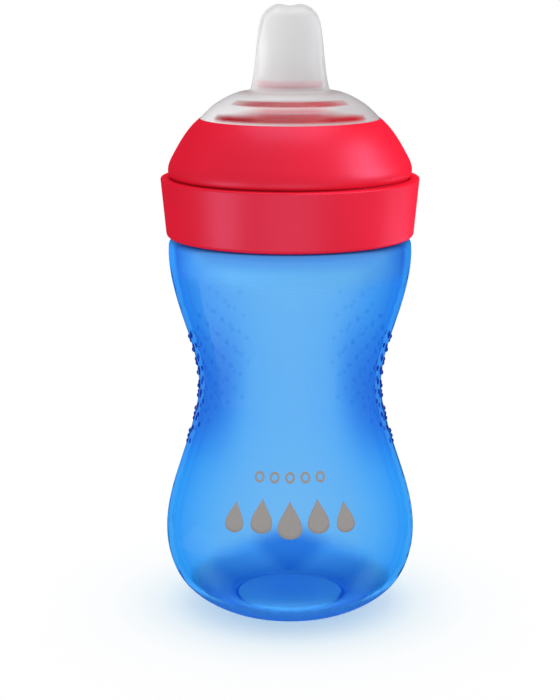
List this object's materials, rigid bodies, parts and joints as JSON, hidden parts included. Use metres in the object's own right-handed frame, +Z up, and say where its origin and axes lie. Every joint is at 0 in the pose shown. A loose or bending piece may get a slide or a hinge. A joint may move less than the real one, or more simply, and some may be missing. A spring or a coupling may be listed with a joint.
{
  "type": "sippy cup",
  "caption": "Hourglass toddler cup: see-through bottle with grip dots, tapered screw ring, domed lid, soft flat spout and a no-spill valve.",
  "frame": {"origin": "centre of the bottle's foot, on the table", "axes": "+Z up along the cup's axis; -Y is the side where the spout shows its broad face; the grip areas are on -X and +X"},
  "size_m": [0.075, 0.075, 0.178],
  "materials": {
    "bottle_blue": "see-through, smooth",
    "grip_blue": "soft touch",
    "lid_red": "semi-gloss",
    "silicone_clear": "milky, satin",
    "valve_red": "satin"
  },
  "bodies": {
    "bottle": {"bottle": "bottle_blue", "grip_dots_left": "grip_blue", "grip_dots_right": "grip_blue"},
    "lid": {"spout_lid": "lid_red", "lid_gasket": "silicone_clear", "soft_spout": "silicone_clear", "valve_seat": "valve_red", "valve_cover": "valve_red", "vent_valve": "silicone_clear"},
    "ring": {"screw_ring": "lid_red"},
    "sip_disc": {"sip_valve": "silicone_clear"}
  },
  "joints": [
    {"name": "lid_rise", "type": "slide", "parent": "bottle", "child": "lid", "axis": [0, 0, 1], "range_m": [0, 0.01205]},
    {"name": "ring_turn", "type": "hinge", "parent": "lid", "child": "ring", "pos_m": [0, 0, 0.12], "axis": [0, 0, 1], "range_deg": [0, 720]},
    {"name": "sip_valve_lift", "type": "slide", "parent": "lid", "child": "sip_disc", "axis": [0, 0, 1], "range_m": [0, 0.0008]}
  ],
  "couplings": [
    {"joint": "lid_rise", "follows": "ring_turn", "m_per_rad": 0.00095493}
  ]
}
